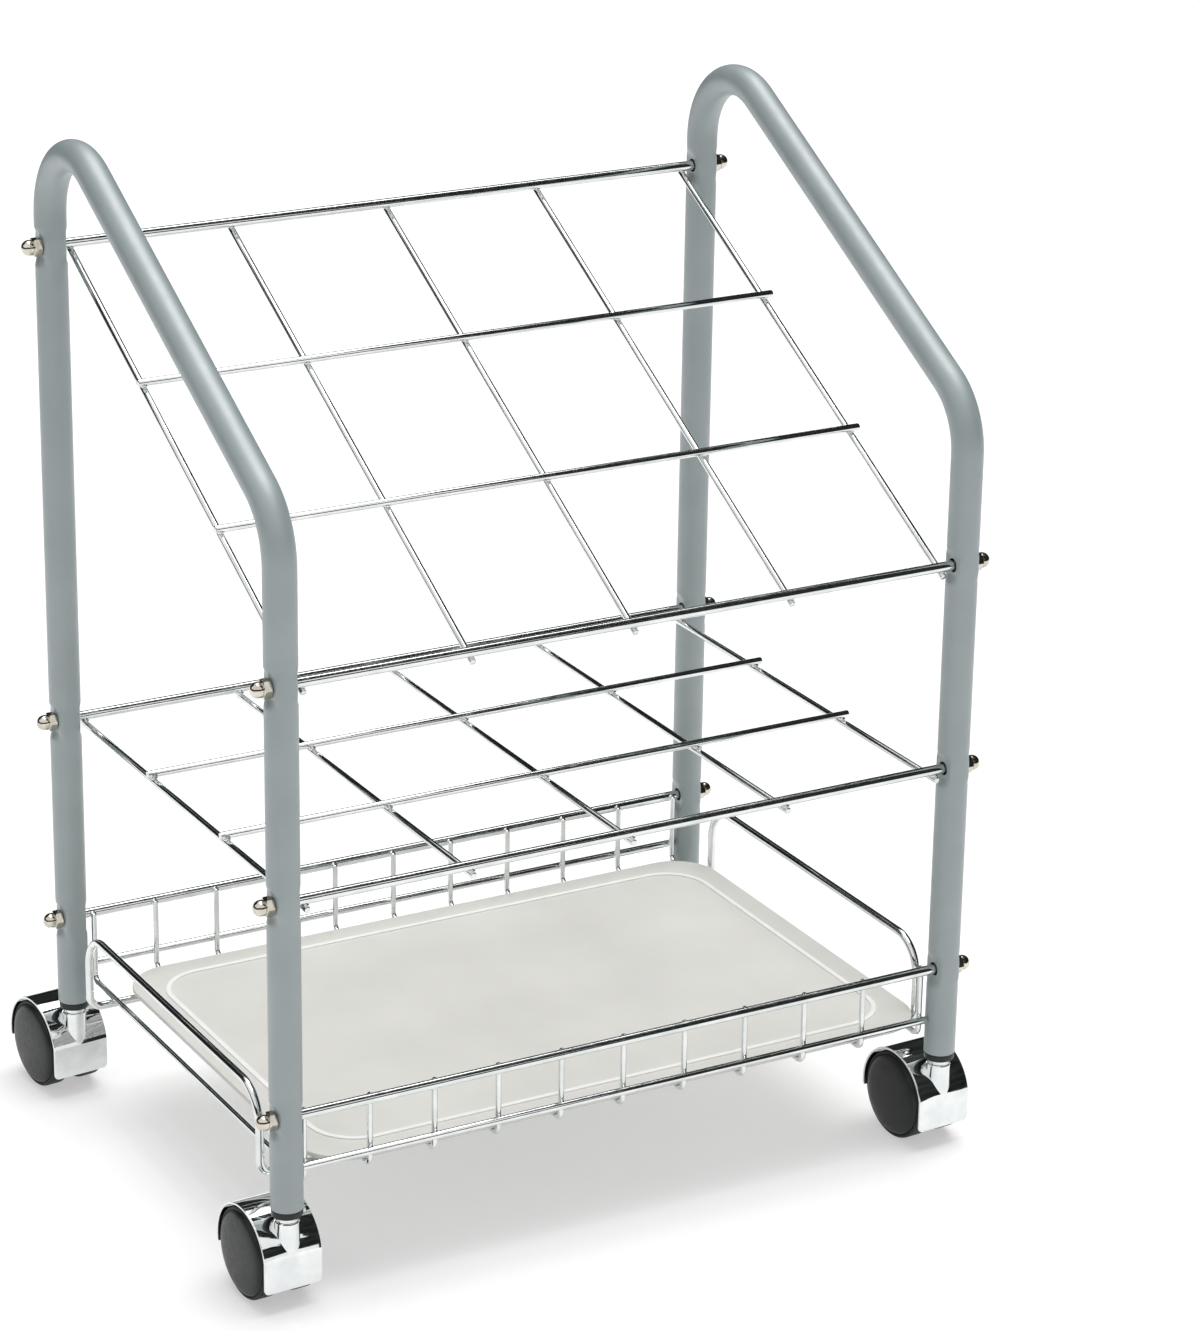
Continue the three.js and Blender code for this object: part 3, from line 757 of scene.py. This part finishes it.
# %% Nut and its copies
HALF_ACROSS_FLATS = 5 * MM
DOME_RADIUS = 4.7 * MM
NUT_PROFILE = [(4.7, 0), (5.85, 0.6), (5.85, 4.4), (4.75, 5)]
NECK_PROFILE = [(4.2, 2), (4.2, 5.3), (4.6, 5.6)]
nut_low, nut_high = (Vector(corner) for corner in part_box("nut_right_basket_front"))
nut_length = nut_high.x - nut_low.x
nut = turned([(r * MM, z * MM) for r, z in NUT_PROFILE], 48)
corner_radius = HALF_ACROSS_FLATS / math.cos(math.pi / 6)
prism = turned([(corner_radius, -1 * MM), (corner_radius, 6 * MM)], 6)
fuse(nut, prism, "INTERSECT")
cap_base = nut_length - DOME_RADIUS
cap = [(DOME_RADIUS * math.cos(t), cap_base + DOME_RADIUS * math.sin(t))
       for t in (math.radians(a) for a in range(0, 89, 8))]
dome = turned([(r * MM, z * MM) for r, z in NECK_PROFILE] + cap, 40)
fuse(nut, dome, "UNION")
shade(nut, 28)
for side, name in ((-1, "left"), (1, "right")):
    for level in LEVELS:
        for place in ("front", "rear"):
            node = f"nut_{name}_{level}_{place}"
            low, high = (Vector(corner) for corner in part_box(node))
            middle = (low + high) / 2
            base_x = low.x if side > 0 else high.x
            copy = copy_of(nut)
            copy.rotation_euler = (0, side * math.pi / 2, 0)
            copy.location = (base_x, middle.y, middle.z)
            apply_place()
            dress(copy, f"capnut_{name}_{level}_{place}", nickel, "cart_frame", node)
bpy.data.objects.remove(nut)
print("twelve cap nuts,", round(nut_length / MM, 1), "mm long")

# %% [markdown]
# ## Caster hood
# The hood is pressed from one sheet: a flat apron in front, then half a drum over both
# wheels. So it starts as a plane for the apron, whose top edge is spun round the axle. The
# free corners are rounded, a Solidify modifier gives the wall, and a Bevel softens the rim.
# All casters are alike, so one is made round the origin and copied.

# %% Sheet of the hood
TRAIL = 22 * MM
AXLE_Z = 27.5 * MM
HOOD_INNER = 28.7 * MM
HOOD_OUTER = 30.2 * MM
HOOD_WIDTH = 36.7 * MM
APRON_LOW = 14 * MM
CREASE_RISE = 6.8 * MM
APRON_CORNER = 3 * MM
TAIL_ANGLE = math.radians(-10)
TAIL_CORNER = 1.2 * MM
RIM_EDGE = 0.4 * MM
NEAR = 0.1 * MM
apron_y = TRAIL - math.sqrt(HOOD_OUTER ** 2 - CREASE_RISE ** 2)
crease_z = AXLE_Z + CREASE_RISE
clear_selection()
bpy.ops.mesh.primitive_plane_add(size=1, location=(0, apron_y, (APRON_LOW + crease_z) / 2),
                                 rotation=(math.pi / 2, 0, 0))
hood = bpy.context.object
hood.scale = (HOOD_WIDTH, crease_z - APRON_LOW, 1)
apply_place()
pick(hood, "VERT", lambda vertex: vertex.co.z > crease_z - NEAR)
sweep = math.pi - math.asin(CREASE_RISE / HOOD_OUTER) - TAIL_ANGLE
bpy.ops.mesh.spin(steps=48, angle=sweep, center=(0, TRAIL, AXLE_Z), axis=(1, 0, 0))
tail_z = AXLE_Z + HOOD_OUTER * math.sin(TAIL_ANGLE)
pick(hood, "VERT", lambda vertex: vertex.co.z < APRON_LOW + NEAR)
bpy.ops.mesh.bevel(offset=APRON_CORNER, segments=6, affect="VERTICES")
pick(hood, "VERT", lambda vertex: vertex.co.y > TRAIL and vertex.co.z < tail_z + NEAR)
bpy.ops.mesh.bevel(offset=TAIL_CORNER, segments=4, affect="VERTICES")
edit_all()
bpy.ops.mesh.normals_make_consistent(inside=False)
bpy.ops.object.mode_set(mode="OBJECT")
top = max(hood.data.polygons, key=lambda face: face.center.z)
if top.normal.z < 0:
    edit_all()
    bpy.ops.mesh.flip_normals()
    bpy.ops.object.mode_set(mode="OBJECT")
add_modifier(hood, "SOLIDIFY", thickness=HOOD_OUTER - HOOD_INNER, offset=-1)
soften(hood, RIM_EDGE, 8, 50)
print("hood sheet", [round(side / MM, 1) for side in hood.dimensions])

# %% [markdown]
# The upright boss is turned, with a hole for the stem, and cut clear of the wheels. The web
# between the wheels starts as a disc and is cut by three planes down to the hub that
# carries the axle. Both are fused to the sheet.

# %% Boss and web of the hood
BOSS_PROFILE = [(7.25, 27.5), (7.25, 54.3), (7.0, 54.8), (6.6, 55), (4.3, 55), (4.3, 44)]
BOSS_BITE = 0.6 * MM
WEB_BITE = 0.7 * MM
WEB_HALF = 5.5 * MM
HUB_REACH = 7 * MM
WEB_INSET = 0.8 * MM


def round_axle(radius, half):
    return turned([(radius, -half), (radius, half)], 96, (0, TRAIL, AXLE_Z), (1, 0, 0))


boss = turned([(r * MM, z * MM) for r, z in BOSS_PROFILE], 64)
fuse(boss, round_axle(HOOD_INNER + BOSS_BITE, 30 * MM), "DIFFERENCE")
web = round_axle(HOOD_INNER + WEB_BITE, WEB_HALF)
hub_low = AXLE_Z - HUB_REACH
tail = Vector((0, TRAIL, AXLE_Z))
tail += HOOD_INNER * Vector((0, math.cos(TAIL_ANGLE), math.sin(TAIL_ANGLE)))
hub = Vector((0, TRAIL + HUB_REACH, hub_low))
slant = (tail - hub).normalized()
front = Vector((0, apron_y + WEB_INSET, crease_z))
front_hub = Vector((0, TRAIL - HUB_REACH, hub_low))
front_slant = (front - front_hub).normalized()
cuts = [(hub, Vector((0, 0, 1))), (hub, Vector((0, -slant.z, slant.y))),
        (front_hub, Vector((0, front_slant.z, -front_slant.y)))]
for point, keep_side in cuts:
    edit_all()
    bpy.ops.mesh.bisect(plane_co=point, plane_no=keep_side, clear_inner=True, use_fill=True)
    bpy.ops.object.mode_set(mode="OBJECT")
close_up()
fuse(hood, boss, "UNION")
fuse(hood, web, "UNION")
shade(hood, 12)
print("hood", [round(side / MM, 1) for side in hood.dimensions], len(hood.data.polygons), "faces")

# %% [markdown]
# ## Stem, sleeve and wheels
# The stem is turned steel: a neck pressed into the hood, a grooved ring that shows as a bright
# band, and a pin that turns inside the leg. The black sleeve fills the tube's end with a collar
# under it. A wheel has a domed disc with a rounded edge. A fine groove parts it from the duller
# running surface, which gets its own darker finish by radius: painted shade for the dark gap
# between the disc and the hood.

# %% Turned caster parts
STEM_PROFILE = [(3.4, 44.3), (4, 44.9), (4, 55.3), (6.5, 55.3), (6.9, 55.5), (7, 55.8), (7, 56.3),
                (6.65, 56.5), (6.65, 56.9), (7, 57.1), (7, 57.6), (6.9, 57.9), (6.5, 58.1),
                (5.5, 58.1), (5.5, 95.3), (4.7, 96.1)]
stem = turned([(r * MM, z * MM) for r, z in STEM_PROFILE], 48)
SLEEVE_PROFILE = [(5.8, 104.6), (8.0, 104.6), (8.0, 62.6), (8.9, 62.6), (9.2, 62.3), (9.2, 58.9),
                  (8.9, 58.4), (5.8, 58.4), (5.8, 104.6)]
sleeve = turned([(r * MM, z * MM) for r, z in SLEEVE_PROFILE], 48)
WHEEL_PROFILE = [(3.3, 17.8), (3.3, 5.8), (25.6, 5.8), (26.9, 6.2), (27.4, 7.2), (27.5, 8.2),
                 (27.5, 15.8), (27.4, 16.6), (27.0, 17.2), (26.4, 17.5), (25.8, 17.4),
                 (25.5, 17.0), (25.2, 17.0), (24.9, 17.7), (24.4, 18.4), (23.6, 19.0),
                 (22.4, 19.5), (20.6, 19.92), (18, 20.28), (14, 20.62), (9, 20.88),
                 (4, 20.98), (1, 21.0)]
DISC_RADIUS = 25.0 * MM
WHEEL_INNER_FACE = 6 * MM
wheel = turned([(r * MM, z * MM) for r, z in WHEEL_PROFILE], 72, along=(1, 0, 0))
wheel.data.materials.append(disc_plastic)
wheel.data.materials.append(tread_painted_shade)
# Faces past the disc, and the inner faces, take the darker finish with its painted shade.
for face in wheel.data.polygons:
    radius = math.hypot(face.center.y, face.center.z)
    face.material_index = 1 if radius > DISC_RADIUS or face.center.x < WHEEL_INNER_FACE else 0
print("wheel of", len(wheel.data.polygons), "faces")

# %% [markdown]
# Each caster stands under its leg, turned as the CAD places it. The hood and stem swivel
# together, and each wheel rolls on its own.

# %% Place the casters
CASTER_TURN = {"front_left": 2.7, "front_right": 3.3, "rear_left": 5.4, "rear_right": 0.0}
for place, degrees in CASTER_TURN.items():
    root = f"caster_{place}"
    yaw = math.radians(degrees)
    ground = centre_of(f"{root}_socket")
    ground.z = 0
    for source, part, finish, slot, body in (
        (hood, "hood", hood_chrome, "hood_chrome", f"{place}_caster"),
        (stem, "stem", hood_chrome, "hood_chrome", f"{place}_caster"),
        (sleeve, "socket", sleeve_plastic, "socket_plastic", "cart_frame"),
    ):
        made = copy_of(source)
        move_to(made, ground, yaw)
        dress(made, f"{place}_{part}_form", finish, body, f"{root}_{part}")
    hub = Quaternion((0, 0, 1), yaw) @ Vector((0, TRAIL, AXLE_Z)) + ground
    for side, turn_round in (("left", math.pi), ("right", 0.0)):
        made = copy_of(wheel)
        move_to(made, hub, yaw + turn_round)
        dress(made, f"{place}_{side}_wheel_form", disc_plastic,
              f"{place}_wheel_{side}", f"{root}_wheel_{side}")
    print(place, "caster turned", degrees, "degrees")
for source in (hood, stem, sleeve, wheel):
    bpy.data.objects.remove(source)

# %% [markdown]
# The axles are plain pins between the wheels, and their CAD shape is right as it is. They
# only need the bright finish in place of the CAD colour.

# %% Finish the axles
for place in CASTER_TURN:
    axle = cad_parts[f"caster_{place}_axle"]
    axle.data.materials.clear()
    axle.data.materials.append(hood_chrome)
print("four axles keep their CAD form")

# %% [markdown]
# ## Floor and light
# The cart stands on a plain white sweep. The floor takes the shadows, and a little glow for
# camera and mirror rays lifts its lit part to white.

# %% Floor
clear_selection()
bpy.ops.mesh.primitive_plane_add(size=40, location=(0, 0, cad_low.z))
floor = bpy.context.object
floor.name = "floor"
floor_white = bpy.data.materials.new("floor_white")
floor_white.use_nodes = True
nodes, links = floor_white.node_tree.nodes, floor_white.node_tree.links
floor_shader = nodes["Principled BSDF"]
floor_shader.inputs["Roughness"].default_value = 0.9
floor_shader.inputs["Specular IOR Level"].default_value = 0.0
floor_shader.inputs["Emission Color"].default_value = (1, 1, 1, 1)


def seen_directly(tree):
    """1 for camera, mirror and glass rays, and 0 for the rays that light the object."""
    path = tree.nodes.new("ShaderNodeLightPath")
    first = tree.nodes.new("ShaderNodeMath")
    first.operation = "ADD"
    second = tree.nodes.new("ShaderNodeMath")
    second.operation = "ADD"
    second.use_clamp = True
    tree.links.new(path.outputs["Is Camera Ray"], first.inputs[0])
    tree.links.new(path.outputs["Is Glossy Ray"], first.inputs[1])
    tree.links.new(first.outputs[0], second.inputs[0])
    tree.links.new(path.outputs["Is Transmission Ray"], second.inputs[1])
    return second.outputs[0]


direct = seen_directly(floor_white.node_tree)
for socket, lit, seen in (("Base Color", 0.92, 0.60), ("Emission Strength", 0.0, 0.44)):
    switch = nodes.new("ShaderNodeMapRange")
    switch.inputs["To Min"].default_value = lit
    switch.inputs["To Max"].default_value = seen
    links.new(direct, switch.inputs["Value"])
    links.new(switch.outputs["Result"], floor_shader.inputs[socket])
floor.data.materials.append(floor_white)
floor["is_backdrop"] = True

# %% [markdown]
# A wide sun and an even world light the cart softly, at a level where a colour looks as it
# is written. Camera and mirror rays see the world as plain white.

# %% World and sun
WORLD_LIT, WORLD_SEEN = 0.45, 1.0
SUN_TRAVEL = Vector((-0.22, -0.12, -1))
world = bpy.data.worlds.new("studio")
bpy.context.scene.world = world
world.use_nodes = True
nodes, links = world.node_tree.nodes, world.node_tree.links
level = nodes.new("ShaderNodeMapRange")
level.inputs["To Min"].default_value = WORLD_LIT
level.inputs["To Max"].default_value = WORLD_SEEN
links.new(seen_directly(world.node_tree), level.inputs["Value"])
nodes["Background"].inputs["Color"].default_value = (1, 1, 1, 1)
links.new(level.outputs["Result"], nodes["Background"].inputs["Strength"])
sun_data = bpy.data.lights.new("panel", "SUN")
sun_data.energy = 2.4
sun_data.angle = math.radians(50)
sun = bpy.data.objects.new("panel", sun_data)
bpy.context.collection.objects.link(sun)
sun.rotation_mode = "QUATERNION"
sun.rotation_quaternion = SUN_TRAVEL.to_track_quat("-Z", "Y")
print("white sweep, one wide soft sun")

# %% [markdown]
# Chrome shows only what stands round it, and in an all-white room it would vanish. In a
# studio, dark cards give bright metal its edges. These curved cards stand far out in a
# ring, and only mirror rays see them, so they shade neither the cart nor the floor.

# %% Dark cards
card_dark, shader = new_finish("card_dark", specular=0.0)
vary_colour(card_dark, shader, mottle(card_dark, 1.5),
            (0.010, 0.012, 0.011, 1), (0.045, 0.05, 0.047, 1))
shader.inputs["Roughness"].default_value = 1.0
CARD_DISTANCE = 3.5


def dark_card(name, from_deg, to_deg, low, high):
    """A strip of a cylinder, between two angles from the front towards the right."""
    clear_selection()
    bpy.ops.mesh.primitive_cylinder_add(vertices=90, radius=CARD_DISTANCE, depth=high - low,
                                        location=(0, 0, (low + high) / 2), end_fill_type="NOTHING")
    card = bpy.context.object
    card.name = name
    apply_place()
    span = to_deg - from_deg

    def outside(face):
        angle = math.degrees(math.atan2(face.center.x, -face.center.y))
        return (angle - from_deg) % 360 > span

    pick(card, "FACE", outside)
    bpy.ops.mesh.delete(type="FACE")
    bpy.ops.object.mode_set(mode="OBJECT")
    card.data.materials.append(card_dark)
    for ray in ("camera", "diffuse", "transmission", "volume_scatter", "shadow"):
        setattr(card, f"visible_{ray}", False)
    card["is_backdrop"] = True


dark_card("card_right", 30, 125, 0.0, 11.0)
dark_card("card_back", 125, 235, 0.02, 4.4)
dark_card("card_left", 235, 300, 0.02, 1.2)
dark_card("card_front", -60, 30, 0.4, 1.7)
print("four dark cards")
